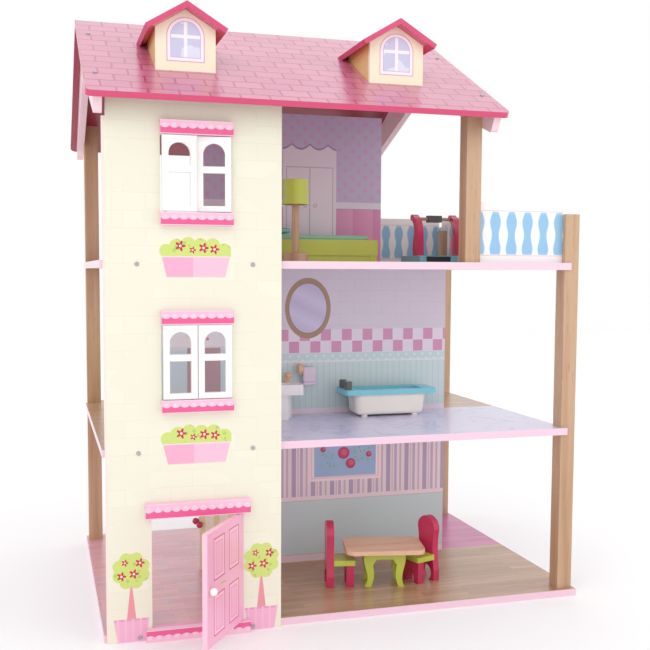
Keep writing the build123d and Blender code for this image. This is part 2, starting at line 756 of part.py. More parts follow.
# ---------------------------------------------------------------- all nodes
def build():
    nodes = {
        "base_floor": base_floor(),
        "middle_floor": upper_board(middle_top),
        "upper_floor": upper_board(upper_top),
        "front_facade": facade(),
        "ground_wall": room_wall(wall_left, wall_right, base_top),
        "middle_wall": room_wall(middle_wall_left, wall_right, middle_top),
        "attic_wall": room_wall(wall_left, attic_wall_right, upper_top),
        "rear_left_post": rear_left_post(),
        "front_right_post": corner_post("front_right_post"),
        "rear_right_post": corner_post("rear_right_post"),
        "front_roof_post": sloped_post(roof_post_x, front_post_y, upper_top),
        "rear_roof_post": sloped_post(roof_post_x, back_post_y, upper_top),
        "front_roof_panel": roof_panel(-1),
        "rear_roof_panel": roof_panel(1),
        "left_gable_truss": gable_truss(left_truss_x),
        "right_gable_truss": gable_truss(right_truss_x),
        "front_balustrade": cross_balustrade(front_post_y),
        "rear_balustrade": cross_balustrade(back_post_y),
        "side_balustrade": side_balustrade(),
        "door_lintel": door_lintel(),
        "door_threshold": door_threshold(),
        "door_leaf": door_leaf(),
        "door_knob": door_knob(),
        "hinge_pins": hinge_pins(),
        "facade_screws": apart([screw(p, d, facade_screw_l) for p, d in facade_screw_places]),
        "roof_screws": apart([screw(p, d, roof_screw_l) for p, d in roof_screw_places()]),
        "post_screws": apart([screw(p, d, post_screw_l) for p, d in post_screw_places]),
        "roll_holder": roll_holder(),
    }
    for name, offset in (("left", -dormer_offset), ("right", dormer_offset)):
        x = roof_mid + offset
        nodes[name + "_dormer_front"] = dormer_front(x)
        nodes[name + "_dormer_cheeks"] = dormer_cheeks(x)
        nodes[name + "_dormer_roof"] = dormer_roof(x)
    for name, sill_z in zip(("middle", "upper"), window_sill_z):
        nodes[name + "_window_rails"] = window_rails(sill_z)
        nodes[name + "_left_sash"] = sash(sill_z, -1)
        nodes[name + "_right_sash"] = sash(sill_z, 1)
    nodes["upper_right_sash"] = turned(nodes["upper_right_sash"], sash_axis_x[1], -ajar_angle)
    chairs = (("left", left_chair_at, left_chair_turn), ("right", right_chair_at, right_chair_turn))
    for name, at, turn in chairs:
        nodes[name + "_chair_frame"] = placed(chair_frame(), at, base_top, turn)
        nodes[name + "_chair_seat"] = placed(chair_seat(), at, base_top, turn)
    nodes["table_top"] = placed(table_top(), table_at, base_top, table_turn)
    nodes["table_legs"] = placed(table_legs(), table_at, base_top, table_turn)
    nodes["bathtub_shell"] = placed(tub_shell(), tub_at, middle_top)
    nodes["bathtub_rim"] = placed(tub_rim(), tub_at, middle_top)
    nodes["bathtub_taps"] = placed(tub_taps(), tub_at, middle_top)
    nodes["washbasin_stand"] = placed(basin_stand(), basin_at, middle_top)
    nodes["washbasin_bowl"] = placed(basin_bowl(), basin_at, middle_top)
    nodes["washbasin_tap"] = placed(basin_tap(), basin_at, middle_top)
    nodes["lamp_stand"] = placed(lamp_stand(), lamp_at, upper_top)
    nodes["lamp_shade"] = placed(lamp_shade(), lamp_at, upper_top)
    nodes["bed_frame"] = placed(bed_frame(), bed_at, upper_top)
    nodes["bed_mattress"] = placed(bed_mattress(), bed_at, upper_top)
    nodes["bed_pillow"] = placed(bed_pillow(), bed_at, upper_top)
    nodes["trainer_base"] = placed(trainer_base(), trainer_at, upper_top)
    nodes["trainer_arms"] = placed(trainer_arms(), trainer_at, upper_top)
    nodes["trainer_bar"] = placed(trainer_bar(), trainer_at, upper_top)
    return nodes


os.makedirs("parts", exist_ok=True)
for node, shape in build().items():
    export_step(shape, "parts/" + node + ".step")
print("leaf axis", round(leaf_axis_x, 3), round(pin_y, 3), "sash axes", [round(x, 3) for x in sash_axis_x])
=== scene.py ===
import math
import bpy
import bmesh
from mathutils import Matrix, Vector


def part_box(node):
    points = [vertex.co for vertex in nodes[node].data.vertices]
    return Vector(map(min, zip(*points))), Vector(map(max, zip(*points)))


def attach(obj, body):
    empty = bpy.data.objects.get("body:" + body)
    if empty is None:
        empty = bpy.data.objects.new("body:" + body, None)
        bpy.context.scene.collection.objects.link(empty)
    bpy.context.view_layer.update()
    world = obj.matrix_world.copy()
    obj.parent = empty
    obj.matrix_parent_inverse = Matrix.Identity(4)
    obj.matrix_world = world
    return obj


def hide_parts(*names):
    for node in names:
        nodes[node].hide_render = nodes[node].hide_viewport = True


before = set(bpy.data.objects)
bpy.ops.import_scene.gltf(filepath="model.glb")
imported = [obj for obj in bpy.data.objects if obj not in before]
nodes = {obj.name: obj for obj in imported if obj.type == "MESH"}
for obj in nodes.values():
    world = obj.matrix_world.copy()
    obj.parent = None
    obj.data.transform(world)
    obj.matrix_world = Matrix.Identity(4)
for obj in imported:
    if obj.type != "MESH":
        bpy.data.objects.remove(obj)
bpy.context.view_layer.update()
bayX = -0.196  # middle of the tower bay
pinY = -0.2195  # line of the hinge pins
print("frame loaded")


def tint(red, green, blue):  # screen colour 0..255 to a linear one
    return tuple((c / 12.92 if c <= 0.04045 else ((c + 0.055) / 1.055) ** 2.4)
                 for c in (red / 255, green / 255, blue / 255)) + (1.0,)


# ---- materials: shader maths written as sums
class Wire:
    def __init__(self, finish, socket):
        self.finish = finish
        self.socket = socket

    def maths(self, operation, *values):
        return self.finish.node("ShaderNodeMath", {"operation": operation}, dict(enumerate(values)))

    def __add__(self, other):
        return self.maths("ADD", self, other)

    def __sub__(self, other):
        return self.maths("SUBTRACT", self, other)

    def __rsub__(self, other):
        return self.maths("SUBTRACT", other, self)

    def __mul__(self, other):
        return self.maths("MULTIPLY", self, other)

    def __truediv__(self, other):
        return self.maths("DIVIDE", self, other)

    def __lt__(self, other):
        return self.maths("LESS_THAN", self, other)

    def __gt__(self, other):
        return self.maths("GREATER_THAN", self, other)

    def __mod__(self, other):
        return self.maths("FLOORED_MODULO", self, other)

    def __abs__(self):
        return self.maths("ABSOLUTE", self)

    __radd__ = __add__
    __rmul__ = __mul__


class Finish:
    def __init__(self, name, roughness=0.4, coat=0.0, metallic=0.0):
        self.material = bpy.data.materials.new(name)
        self.material.use_nodes = True
        self.tree = self.material.node_tree
        self.shader = self.tree.nodes["Principled BSDF"]
        self.shader.inputs["Roughness"].default_value = roughness
        self.shader.inputs["Coat Weight"].default_value = coat
        self.shader.inputs["Coat Roughness"].default_value = 0.25
        self.shader.inputs["Metallic"].default_value = metallic
        self.place = self.node("ShaderNodeTexCoord", {}, {}, "Object")
        self.facing = self.node("ShaderNodeTexCoord", {}, {}, "Normal")

    def node(self, kind, settings, inputs, output=0):
        made = self.tree.nodes.new(kind)
        for key, value in settings.items():
            if key == "stops":
                while len(made.color_ramp.elements) < len(value):
                    made.color_ramp.elements.new(0.5)
                for element, (position, colour) in zip(made.color_ramp.elements, value):
                    element.position = position
                    element.color = colour
            else:
                setattr(made, key, value)
        for key, value in inputs.items():
            if isinstance(value, Wire):
                self.tree.links.new(value.socket, made.inputs[key])
            else:
                made.inputs[key].default_value = value
        return Wire(self, made.outputs[output])

    def axes(self, vector):
        return [self.node("ShaderNodeSeparateXYZ", {}, {0: vector}, n) for n in range(3)]

    def vector(self, x, y, z):
        return self.node("ShaderNodeCombineXYZ", {}, {0: x, 1: y, 2: z})

    def layer(self, below, above, mask):
        return self.node("ShaderNodeMix", {"data_type": "RGBA"}, {0: mask, 6: below, 7: above}, 2)

    def noise(self, vector, scale, detail=3.0, output="Fac"):
        return self.node("ShaderNodeTexNoise", {}, {"Vector": vector, "Scale": scale, "Detail": detail},
                         output)

    def stretched(self, x, y, z):
        return self.node("ShaderNodeMapping", {}, {"Vector": self.place, "Scale": (x, y, z)})

    def finished(self, colour, height=None, strength=0.2, distance=0.0004, roughness=None):
        self.tree.links.new(colour.socket, self.shader.inputs["Base Color"])
        if height is not None:
            bump = self.node("ShaderNodeBump", {},
                             {"Height": height, "Strength": strength, "Distance": distance},
                             "Normal")
            self.tree.links.new(bump.socket, self.shader.inputs["Normal"])
        if roughness is not None:
            self.tree.links.new(roughness.socket, self.shader.inputs["Roughness"])
        return self.material


def band(value, low, high):
    return abs(value - (low + high) / 2) < (high - low) / 2


def away(x, z, middleX, middleZ):
    dx = x - middleX
    dz = z - middleZ
    return dx, dz, (dx * dx + dz * dz).maths("SQRT", dx * dx + dz * dz)


def disc(x, z, middleX, middleZ, radius):
    return away(x, z, middleX, middleZ)[2] < radius


def either(first, second):
    return first.maths("MAXIMUM", first, second)


def scallops(x, z, edge, pitch, drop):  # round lobes hanging from the edge
    across = ((x % pitch) / pitch - 0.5) * 2.0
    lobe = (1.0 - across * across).maths("SQRT", 1.0 - across * across)
    return (z - edge) > (lobe * -drop)


def flower(paint, colour, x, z, middleX, middleZ, radius):
    dx, dz, reach = away(x, z, middleX, middleZ)
    turn = dx.maths("ARCTAN2", dz, dx) * 5.0
    petals = (turn.maths("COSINE", turn) * 0.28 + 0.72) * radius
    colour = paint.layer(colour, tint(206, 24, 62), reach < petals)
    return paint.layer(colour, tint(250, 232, 236), reach < radius * 0.25)


def leaves(paint, colour, mask):
    patch = paint.node("ShaderNodeTexVoronoi", {}, {"Vector": paint.place, "Scale": 130.0}, "Distance")
    green = paint.layer(tint(206, 222, 120), tint(176, 208, 104), patch < 0.28)
    return paint.layer(colour, green, mask)


def satin(name, red, green, blue, roughness=0.32, coat=0.25):
    paint = Finish(name, roughness, coat)
    cloud = paint.noise(paint.place, 22.0, 4.0)
    colour = paint.layer(tint(red, green, blue), tint(red * 0.9, green * 0.88, blue * 0.9),
                         (cloud - 0.42) * 0.9)
    brush = paint.noise(paint.stretched(1.0, 1.0, 0.15), 900.0, 2.0)
    speck = paint.noise(paint.place, 260.0, 2.0) > 0.735
    colour = paint.layer(colour, tint(red * 0.8, green * 0.8, blue * 0.8), speck * 0.35)
    return paint.finished(colour, brush, 0.12, 0.0003, cloud * 0.14 + (roughness - 0.07))


def timber(name, along, light, dark, scale=1.0, roughness=0.42):
    wood = Finish(name, roughness, 0.15)
    squeeze = [0.045 if axis == along else 1.0 for axis in "xyz"]
    grain = wood.stretched(*squeeze)
    rings = wood.noise(grain, 95.0 * scale, 5.0)
    fibre = wood.noise(grain, 900.0, 2.0)
    drift = wood.noise(wood.stretched(*[0.25 if axis == along else 1.0 for axis in "xyz"]), 16.0, 2.0)
    mixed = rings * 0.75 + drift * 0.35 - 0.08
    stops = [(0.3, tint(*dark)), (0.52, tint(*light)), (0.75, tint(*[c * 0.95 for c in light]))]
    colour = wood.node("ShaderNodeValToRGB", {"stops": stops}, {0: mixed})
    colour = wood.layer(colour, tint(*[c * 0.82 for c in dark]), (fibre > 0.66) * 0.4)
    return wood.finished(colour, fibre + rings, 0.16, 0.0003, fibre * 0.15 + (roughness - 0.07))


def edgePly(paint, colour, edge, sides):  # painted edges where the printed face ends
    return paint.layer(colour, edge, sides)


# ---- printed boards
def facadePrint():
    size = {"brick": 0.0505, "row": 0.0196, "line": 0.0006}
    paint = Finish("facadePrint", 0.34, 0.2)
    x, y, z = paint.axes(paint.place)
    nx, ny, nz = paint.axes(paint.facing)
    wall = paint.vector(x, z, 0.0)
    brick = paint.node("ShaderNodeTexBrick", {"offset": 0.5},
                       {"Vector": wall, "Color1": tint(236, 232, 212), "Color2": tint(239, 236, 217),
                        "Mortar": tint(232, 229, 206), "Scale": 1.0, "Mortar Size": size["line"],
                        "Mortar Smooth": 0.4, "Bias": 0.0, "Brick Width": size["brick"],
                        "Row Height": size["row"]}, "Color")
    some = paint.noise(wall, 14.0, 1.0) > 0.46  # bricks are only hinted at in places
    colour = paint.layer(tint(237, 233, 214), brick, some * 0.9)
    colour = paint.layer(colour, tint(252, 226, 218), x < -0.2975)
    level = z - 0.213 * (z > 0.33)  # both planters share one pattern
    inPlanter = band(z, 0.19, 0.26)
    inPlanter = either(inPlanter, band(z, 0.403, 0.473))
    dx = x - bayX + 0.0005
    dz = level - 0.227
    bush = band(level, 0.2265, 0.2345) * (abs(dx) < 0.040)
    for cx, cz, radius in ((-0.034, 0.2325, 0.0075), (-0.022, 0.2375, 0.0085), (-0.009, 0.2395, 0.0085),
                           (0.005, 0.2385, 0.0085), (0.019, 0.2385, 0.0085), (0.032, 0.2335, 0.008)):
        bush = either(bush, disc(dx, level, cx, cz, radius) * (level > 0.2265))
    colour = leaves(paint, colour, bush * inPlanter)
    for cx, cz, radius in ((-0.2145, 0.238, 0.0062), (-0.2005, 0.2335, 0.0042), (-0.188, 0.236, 0.006),
                           (-0.1755, 0.2345, 0.0058)):
        colour = flower(paint, colour, x, level, cx, cz, radius)
    slant = abs(dx) < ((level - 0.203) * 0.242 + 0.0333)
    tub = slant * band(level, 0.203, 0.2265)
    pink = paint.layer(tint(246, 192, 214), tint(242, 172, 202), x < bayX - 0.004)
    pink = paint.layer(pink, tint(250, 214, 226), level > 0.2252)
    colour = paint.layer(colour, pink, tub * inPlanter)
    shifted = x - 0.1515 * (x > -0.19)  # the two potted trees share one pattern
    low = z < 0.12
    dx, dz, reach = away(shifted, z, -0.2725, 0.083)
    fringe = dx.maths("ARCTAN2", dz, dx) * 4.0
    tree = reach < (abs(fringe.maths("SINE", fringe)) * 0.0032 + 0.0188)
    stem = (abs(shifted + 0.2725) < ((0.064 - z) * 0.11 + 0.0012)) * band(z, 0.026, 0.066)
    colour = paint.layer(colour, tint(232, 150, 160), stem * low)
    pot = (abs(shifted + 0.2725) < ((z - 0.001) * 0.17 + 0.0158)) * band(z, -0.001, 0.027)
    potTint = paint.layer(tint(240, 178, 206), tint(232, 156, 192), (z > 0.0245))
    potTint = paint.layer(potTint, tint(243, 188, 212), (shifted % 0.0085) < 0.0024)
    colour = paint.layer(colour, potTint, pot * low)
    colour = leaves(paint, colour, tree * low)
    for cx, cz, radius in ((-0.2795, 0.0925, 0.0042), (-0.2625, 0.0915, 0.0056), (-0.2835, 0.077, 0.0056),
                           (-0.2695, 0.079, 0.0058)):
        colour = flower(paint, colour, shifted, z, cx, cz, radius)
    rear = ny > 0.5
    stripe = ((x % 0.022) < 0.011) * 1.0
    inner = paint.layer(tint(246, 226, 232), tint(236, 206, 220), stripe)
    colour = paint.layer(colour, inner, rear)
    colour = edgePly(paint, colour, tint(240, 235, 208), abs(ny) < 0.5)
    colour = paint.layer(colour, tint(236, 150, 190), (nz > 0.5) * (z < 0.02))  # ledge of the doorway
    speck = paint.noise(paint.place, 700.0, 2.0)
    return paint.finished(colour, speck, 0.06, 0.0002)


def groundPaper():
    size = {"railLow": 0.097, "railTop": 0.1028, "boardTop": 0.0196}
    paint = Finish("groundPaper", 0.4, 0.15)
    x, y, z = paint.axes(paint.place)
    nx, ny, nz = paint.axes(paint.facing)
    wide = x % 0.0285
    stripes = paint.layer(tint(240, 222, 230), tint(186, 164, 196), band(wide, 0.0, 0.0065))
    stripes = paint.layer(stripes, tint(222, 190, 206), band(wide, 0.0085, 0.0105))
    stripes = paint.layer(stripes, tint(200, 176, 204), band(wide, 0.0125, 0.0165))
    stripes = paint.layer(stripes, tint(214, 184, 204), band(wide, 0.0205, 0.0235))
    frameX, frameZ = 0.0512, 0.160
    for growth, rim in ((0.055, tint(248, 226, 232)), (0.0515, tint(240, 208, 222)),
                        (0.049, tint(250, 232, 236))):
        box = (abs(x - frameX) < growth) * (abs(z - frameZ) < growth - 0.0185)
        stripes = paint.layer(stripes, rim, box)
    canvas = (abs(x - frameX) < 0.0465) * (abs(z - frameZ) < 0.0302)
    sky = paint.layer(tint(146, 178, 220), tint(172, 196, 228), paint.noise(paint.place, 30.0))
    stripes = paint.layer(stripes, sky, canvas)
    leafy = paint.node("ShaderNodeTexVoronoi", {}, {"Vector": paint.place, "Scale": 210.0}, "Distance")
    sprig = (abs(z - 0.158 - (x - frameX) * 0.16) < 0.012) * (abs(x - frameX) < 0.037)
    stripes = paint.layer(stripes, tint(150, 182, 130), sprig * (leafy < 0.33) * canvas)
    for cx, cz, radius in ((0.0488, 0.1629, 0.0088), (0.0593, 0.1475, 0.0074), (0.087, 0.1597, 0.0044),
                           (0.018, 0.169, 0.004)):
        bloom = disc(x, z, cx, cz, radius)
        swirl = disc(x, z, cx + 0.001, cz + 0.001, radius * 0.55)
        stripes = paint.layer(stripes, tint(190, 52, 100), bloom * canvas)
        stripes = paint.layer(stripes, tint(214, 86, 126), swirl * canvas)
    lower = paint.layer(tint(208, 222, 224), tint(199, 213, 217), paint.noise(paint.place, 9.0))
    colour = paint.layer(stripes, lower, z < size["railLow"])
    colour = paint.layer(colour, tint(240, 222, 230), band(z, size["railLow"], size["railTop"]))
    colour = paint.layer(colour, tint(206, 178, 196), band(z, size["railLow"] - 0.0008, size["railLow"]))
    colour = paint.layer(colour, tint(236, 214, 224), z < size["boardTop"])
    colour = paint.layer(colour, tint(204, 178, 194), band(z, size["boardTop"] - 0.0008, size["boardTop"]))
    hall = paint.layer(tint(250, 244, 220), tint(240, 226, 180), (x % 0.02) < 0.008)
    colour = paint.layer(colour, hall, x < -0.098)
    rear = paint.layer(tint(226, 236, 226), tint(206, 224, 214), (x % 0.03) < 0.015)
    rear = paint.layer(rear, tint(244, 236, 240), z < 0.03)
    colour = paint.layer(colour, rear, ny > 0.5)
    colour = edgePly(paint, colour, tint(240, 206, 222), abs(ny) < 0.5)
    return paint.finished(colour, paint.noise(paint.place, 700.0, 2.0), 0.05, 0.0002)


def middlePaper():
    size = {"square": 0.01555, "row": 0.0168, "checkLow": 0.3077, "scallopLow": 0.296, "boardTop": 0.2295}
    paint = Finish("middlePaper", 0.4, 0.15)
    x, y, z = paint.axes(paint.place)
    nx, ny, nz = paint.axes(paint.facing)
    wall = paint.vector(x, z, 0.0)
    colour = paint.node("ShaderNodeTexBrick", {"offset": 0.5},
                        {"Vector": wall, "Color1": tint(218, 207, 219), "Color2": tint(219, 209, 221),
                         "Mortar": tint(211, 199, 212), "Scale": 1.0, "Mortar Size": 0.0004,
                         "Mortar Smooth": 0.3,
                         "Brick Width": 0.042, "Row Height": 0.0165}, "Color")
    across = (x - 0.0132) / size["square"]
    level = (z - size["checkLow"]) / size["row"]
    cell = (across.maths("FLOOR", across) + level.maths("FLOOR", level) + 1.0) % 2.0
    check = paint.layer(tint(214, 150, 186), tint(230, 220, 232), cell > 0.5)
    grout = either(((across % 1.0) < 0.04) * 1.0, ((level % 1.0) < 0.04) * 1.0)
    check = paint.layer(check, tint(240, 226, 236), grout)
    colour = paint.layer(colour, check, band(z, size["checkLow"], size["checkLow"] + 2 * size["row"]))
    frieze = paint.layer(tint(230, 230, 234), tint(200, 222, 222), scallops(x, z, 0.3005, 0.0125, 0.0035))
    dots = disc(x % 0.0125, z, 0.00625, 0.3035, 0.0016)
    frieze = paint.layer(frieze, tint(232, 238, 240), dots)
    colour = paint.layer(colour, frieze, band(z, size["scallopLow"], size["checkLow"]))
    boards = paint.layer(tint(206, 222, 222), tint(194, 210, 212), (x % 0.0088) < 0.0012)
    colour = paint.layer(colour, boards, z < 0.2945)
    colour = paint.layer(colour, tint(228, 228, 232), band(z, 0.2945, 0.2965))
    colour = paint.layer(colour, tint(238, 220, 230), z < size["boardTop"])
    dx = (x + 0.0053) / 0.0334
    dz = (z - 0.3712) / 0.0426
    ring = (dx * dx + dz * dz)
    oval = paint.layer(tint(160, 128, 104), tint(178, 146, 120), paint.noise(paint.place, 220.0))
    colour = paint.layer(colour, oval, ring < 1.0)
    slanted = x * 0.6 + z * 1.2
    gleam = slanted.maths("PINGPONG", slanted, 0.02) * 40.0
    sheen = paint.layer(tint(198, 188, 218), tint(216, 208, 232), gleam)
    colour = paint.layer(colour, tint(150, 118, 96), ring < 0.70)
    colour = paint.layer(colour, sheen, ring < 0.66)
    blossom = paint.node("ShaderNodeTexVoronoi", {}, {"Vector": wall, "Scale": 46.0}, "Distance")
    nursery = paint.layer(tint(250, 248, 250), tint(236, 150, 176), blossom < 0.16)
    bud = paint.node("ShaderNodeTexVoronoi", {}, {"Vector": wall, "Scale": 60.0, "Randomness": 0.9},
                     "Distance")
    nursery = paint.layer(nursery, tint(176, 196, 120), bud < 0.12)
    nursery = paint.layer(nursery, tint(216, 234, 240), z < 0.315)
    nursery = paint.layer(nursery, tint(236, 236, 242), band(z, 0.315, 0.32))
    # a cupboard painted flat on the wall behind the window; its dark mauve tone is painted shade
    shadedCupboard = band(x, -0.176, -0.13) * (z < 0.318)
    nursery = paint.layer(nursery, tint(198, 168, 172), shadedCupboard)
    colour = paint.layer(colour, nursery, x < -0.098)
    rear = paint.layer(tint(238, 232, 214), tint(228, 214, 190), (z % 0.02) < 0.001)
    colour = paint.layer(colour, rear, ny > 0.5)
    colour = edgePly(paint, colour, tint(240, 206, 222), abs(ny) < 0.5)
    return paint.finished(colour, paint.noise(paint.place, 700.0, 2.0), 0.05, 0.0002)


def atticPaper():
    size = {"pitchX": 0.0196, "pitchZ": 0.0185, "dot": 0.0033}
    paint = Finish("atticPaper", 0.4, 0.15)
    x, y, z = paint.axes(paint.place)
    nx, ny, nz = paint.axes(paint.facing)
    colour = paint.layer(tint(196, 182, 214), tint(206, 194, 222), paint.noise(paint.place, 12.0))
    for shiftX, shiftZ in ((0.0, 0.0), (size["pitchX"] / 2, size["pitchZ"] / 2)):
        spot = disc((x + shiftX) % size["pitchX"], (z + shiftZ) % size["pitchZ"], size["pitchX"] / 2,
                    size["pitchZ"] / 2, size["dot"])
        colour = paint.layer(colour, tint(216, 164, 200), spot * 0.7)
    lower = paint.layer(tint(224, 144, 186), tint(232, 164, 200), (x % 0.03) / 0.03)
    colour = paint.layer(colour, lower, z < 0.512)
    colour = paint.layer(colour, tint(232, 222, 234), band(z, 0.511, 0.520))
    colour = paint.layer(colour, tint(190, 170, 196), band(z, 0.5103, 0.5112))
    door = x + 0.0033
    body = (abs(x + 0.0033) < 0.0385)
    turn = (x + 0.0033) * 120.0
    crest = z - 0.5985 + abs(turn.maths("SINE", turn)) * 0.0065
    colour = paint.layer(colour, tint(158, 134, 176), body * (crest < 0.0011) * (z > 0.585))
    cabinet = paint.layer(tint(242, 232, 240), tint(235, 222, 234), paint.noise(paint.place, 15.0))
    colour = paint.layer(colour, cabinet, body * (crest < -0.0011))
    seam = either((abs(door) < 0.0006) * 1.0, (abs(abs(door) - 0.0335) < 0.0005) * 1.0)
    colour = paint.layer(colour, tint(190, 172, 196), seam * (z < 0.566))
    colour = paint.layer(colour, tint(196, 178, 200), (abs(z - 0.5672) < 0.0006) * (abs(door) < 0.0345))
    for cx in (-0.0097, 0.0045):
        reach = away(x, z, cx, 0.5145)[2]
        colour = paint.layer(colour, tint(176, 160, 176), band(reach, 0.0018, 0.0027))
    rear = paint.layer(tint(214, 226, 236), tint(196, 212, 228), (x % 0.024) < 0.012)
    colour = paint.layer(colour, rear, ny > 0.5)
    colour = edgePly(paint, colour, tint(240, 206, 222), abs(ny) < 0.5)
    return paint.finished(colour, paint.noise(paint.place, 700.0, 2.0), 0.05, 0.0002)


def planks(paint, x, y, light, dark, line, width=0.0115, length=0.16, grain="x"):
    flat = paint.vector(x, y, 0.0) if grain == "x" else paint.vector(y, x, 0.0)
    boards = paint.node("ShaderNodeTexBrick", {"offset": 0.37, "offset_frequency": 2},
                        {"Vector": flat, "Color1": tint(*light), "Color2": tint(*dark), "Mortar": tint(*line),
                         "Scale": 1.0, "Mortar Size": 0.0003, "Mortar Smooth": 0.2, "Bias": 0.0,
                         "Brick Width": length, "Row Height": width}, "Color")
    stretch = paint.stretched(0.05, 1.0, 1.0) if grain == "x" else paint.stretched(1.0, 0.05, 1.0)
    streak = paint.noise(stretch, 320.0, 4.0)
    return paint.layer(boards, tint(*[c * 0.86 for c in dark]), (streak > 0.56) * 0.35)


def floorPrint(name, frontRight, rearRight, leftRoom, divide, edge, under):
    paint = Finish(name, 0.3, 0.3)
    x, y, z = paint.axes(paint.place)
    nx, ny, nz = paint.axes(paint.facing)
    colour = frontRight(paint, x, y)
    colour = paint.layer(colour, rearRight(paint, x, y), y > 0.0)
    colour = paint.layer(colour, leftRoom(paint, x, y), x < divide)
    upward = nz > 0.5
    colour = paint.layer(tint(*under), colour, upward)
    colour = paint.layer(colour, tint(*edge), abs(nz) < 0.5)
    return paint.finished(colour, paint.noise(paint.place, 600.0, 2.0), 0.05, 0.0002)


def tanBoards(paint, x, y):
    return planks(paint, x, y, (192, 156, 126), (172, 134, 102), (150, 112, 84))


def magentaBoards(paint, x, y):
    return planks(paint, x, y, (204, 110, 160), (188, 92, 146), (160, 76, 126))


def mauveBoards(paint, x, y):
    pavers = planks(paint, x, y, (228, 172, 176), (216, 154, 162), (198, 140, 150), 0.0125, 0.05)
    patch = paint.noise(paint.place, 34.0, 2.0) > 0.58
    return paint.layer(pavers, tint(200, 174, 184), patch * 0.5)


def marble(paint, x, y):
    cloud = paint.noise(paint.stretched(1.0, 1.6, 1.0), 26.0, 6.0)
    colour = paint.layer(tint(206, 212, 236), tint(224, 214, 236), cloud)
    vein = abs(paint.noise(paint.place, 14.0, 8.0) - 0.5) < 0.012
    return paint.layer(colour, tint(186, 182, 214), vein * 0.6)


def bedroomBoards(paint, x, y):
    return planks(paint, x, y, (238, 206, 220), (228, 190, 208), (214, 172, 194))


def roofPrint():
    size = {"pitch": 28.2, "shingle": 0.0335, "row": 0.0222, "joint": 0.0026}
    paint = Finish("roofPrint", 0.28, 0.45)
    x, y, z = paint.axes(paint.place)
    nx, ny, nz = paint.axes(paint.facing)
    down = abs(y) / math.cos(math.radians(size["pitch"]))
    waver = (paint.noise(paint.place, 60.0, 1.0) - 0.5) * 0.0022
    flat = paint.vector(x + waver, down + waver, 0.0)
    colour = paint.node("ShaderNodeTexBrick", {"offset": 0.5},
                        {"Vector": flat, "Color1": tint(206, 124, 154), "Color2": tint(197, 112, 144),
                         "Mortar": tint(178, 58, 106), "Scale": 1.0, "Mortar Size": size["joint"] / 2,
                         "Mortar Smooth": 0.1, "Bias": 0.0, "Brick Width": size["shingle"],
                         "Row Height": size["row"]}, "Color")
    blush = paint.noise(paint.place, 18.0, 3.0)
    colour = paint.layer(colour, tint(214, 140, 168), (blush - 0.45) * 0.8)
    upward = nz > 0.6
    colour = paint.layer(tint(214, 64, 112), colour, upward)
    # painted shade: downward faces get a deep maroon, the magenta underside paint darkened as painted shade
    colour = paint.layer(colour, tint(150, 38, 66), nz < -0.6)
    return paint.finished(colour, paint.noise(paint.place, 500.0, 2.0), 0.05, 0.0002)


def crimsonRoofEdge():
    paint = Finish("dormerRoofPaint", 0.3, 0.4)
    cloud = paint.noise(paint.place, 30.0, 3.0)
    colour = paint.layer(tint(220, 76, 122), tint(206, 60, 108), cloud)
    return paint.finished(colour, paint.noise(paint.place, 500.0, 2.0), 0.08, 0.0002)


def dormerPrint(name, middleX):
    size = {"low": 0.6655, "spring": 0.6925, "half": 0.0205, "bar": 0.0019}
    paint = Finish(name, 0.34, 0.2)
    x, y, z = paint.axes(paint.place)
    nx, ny, nz = paint.axes(paint.facing)
    dx = x - middleX
    colour = paint.layer(tint(250, 243, 218), tint(247, 238, 208), paint.noise(paint.place, 18.0))
    for grow, shade in ((0.0016, tint(226, 150, 190)), (0.0006, tint(252, 246, 250)),
                        (-0.0028, tint(206, 180, 214)),
                        (-0.0036, tint(206, 209, 235))):
        arch = disc(x, z, middleX, size["spring"], size["half"] + grow) * (z > size["spring"])
        lower = (abs(dx) < size["half"] + grow) * band(z, size["low"] - grow, size["spring"] + 0.0001)
        pane = either(arch, lower)
        colour = paint.layer(colour, shade, pane)
    glare = (paint.noise(paint.place, 40.0, 2.0) > 0.55) * pane
    colour = paint.layer(colour, tint(226, 230, 246), glare)
    bars = either((abs(dx) < size["bar"]) * 1.0, (abs(z - size["spring"]) < size["bar"]) * 1.0) * pane
    colour = paint.layer(colour, tint(252, 247, 251), bars)
    colour = edgePly(paint, colour, tint(248, 238, 206), ny > -0.5)
    return paint.finished(colour, paint.noise(paint.place, 700.0, 2.0), 0.05, 0.0002)


def balustradePrint(name, along, length):
    size = {"foot": 0.445, "top": 0.4985, "pitch": 0.0224, "blue": (154, 202, 234)}
    paint = Finish(name, 0.36, 0.2)
    x, y, z = paint.axes(paint.place)
    nx, ny, nz = paint.axes(paint.facing)
    run = x if along == "x" else y
    across = abs(((run + length) % size["pitch"]) - size["pitch"] / 2)
    up = (z - size["foot"]) / (size["top"] - size["foot"])
    wave = (up * 6.2832 * 1.5 + 0.5)
    half = wave.maths("SINE", wave) * 0.0019 + 0.0070 - abs(up - 0.42) * 0.0040
    vase = (across < half) * band(z, size["foot"], size["top"])
    colour = paint.layer(tint(246, 240, 240), tint(*size["blue"]), vase)
    shade = (across < half - 0.0012) * band(z, size["foot"] + 0.002, size["top"] - 0.003)
    colour = paint.layer(colour, tint(140, 190, 226), shade * 0.7)
    upper = (abs(z - size["top"] - 0.0012) < 0.0005) * 1.0
    lower = (abs(z - size["foot"] + 0.0012) < 0.0005) * 1.0
    rails = either(upper, lower)
    colour = paint.layer(colour, tint(226, 206, 216), rails)
    flat = abs(ny if along == "x" else nx) < 0.5
    colour = edgePly(paint, colour, tint(248, 244, 240), flat)
    return paint.finished(colour, paint.noise(paint.place, 700.0, 2.0), 0.05, 0.0002)


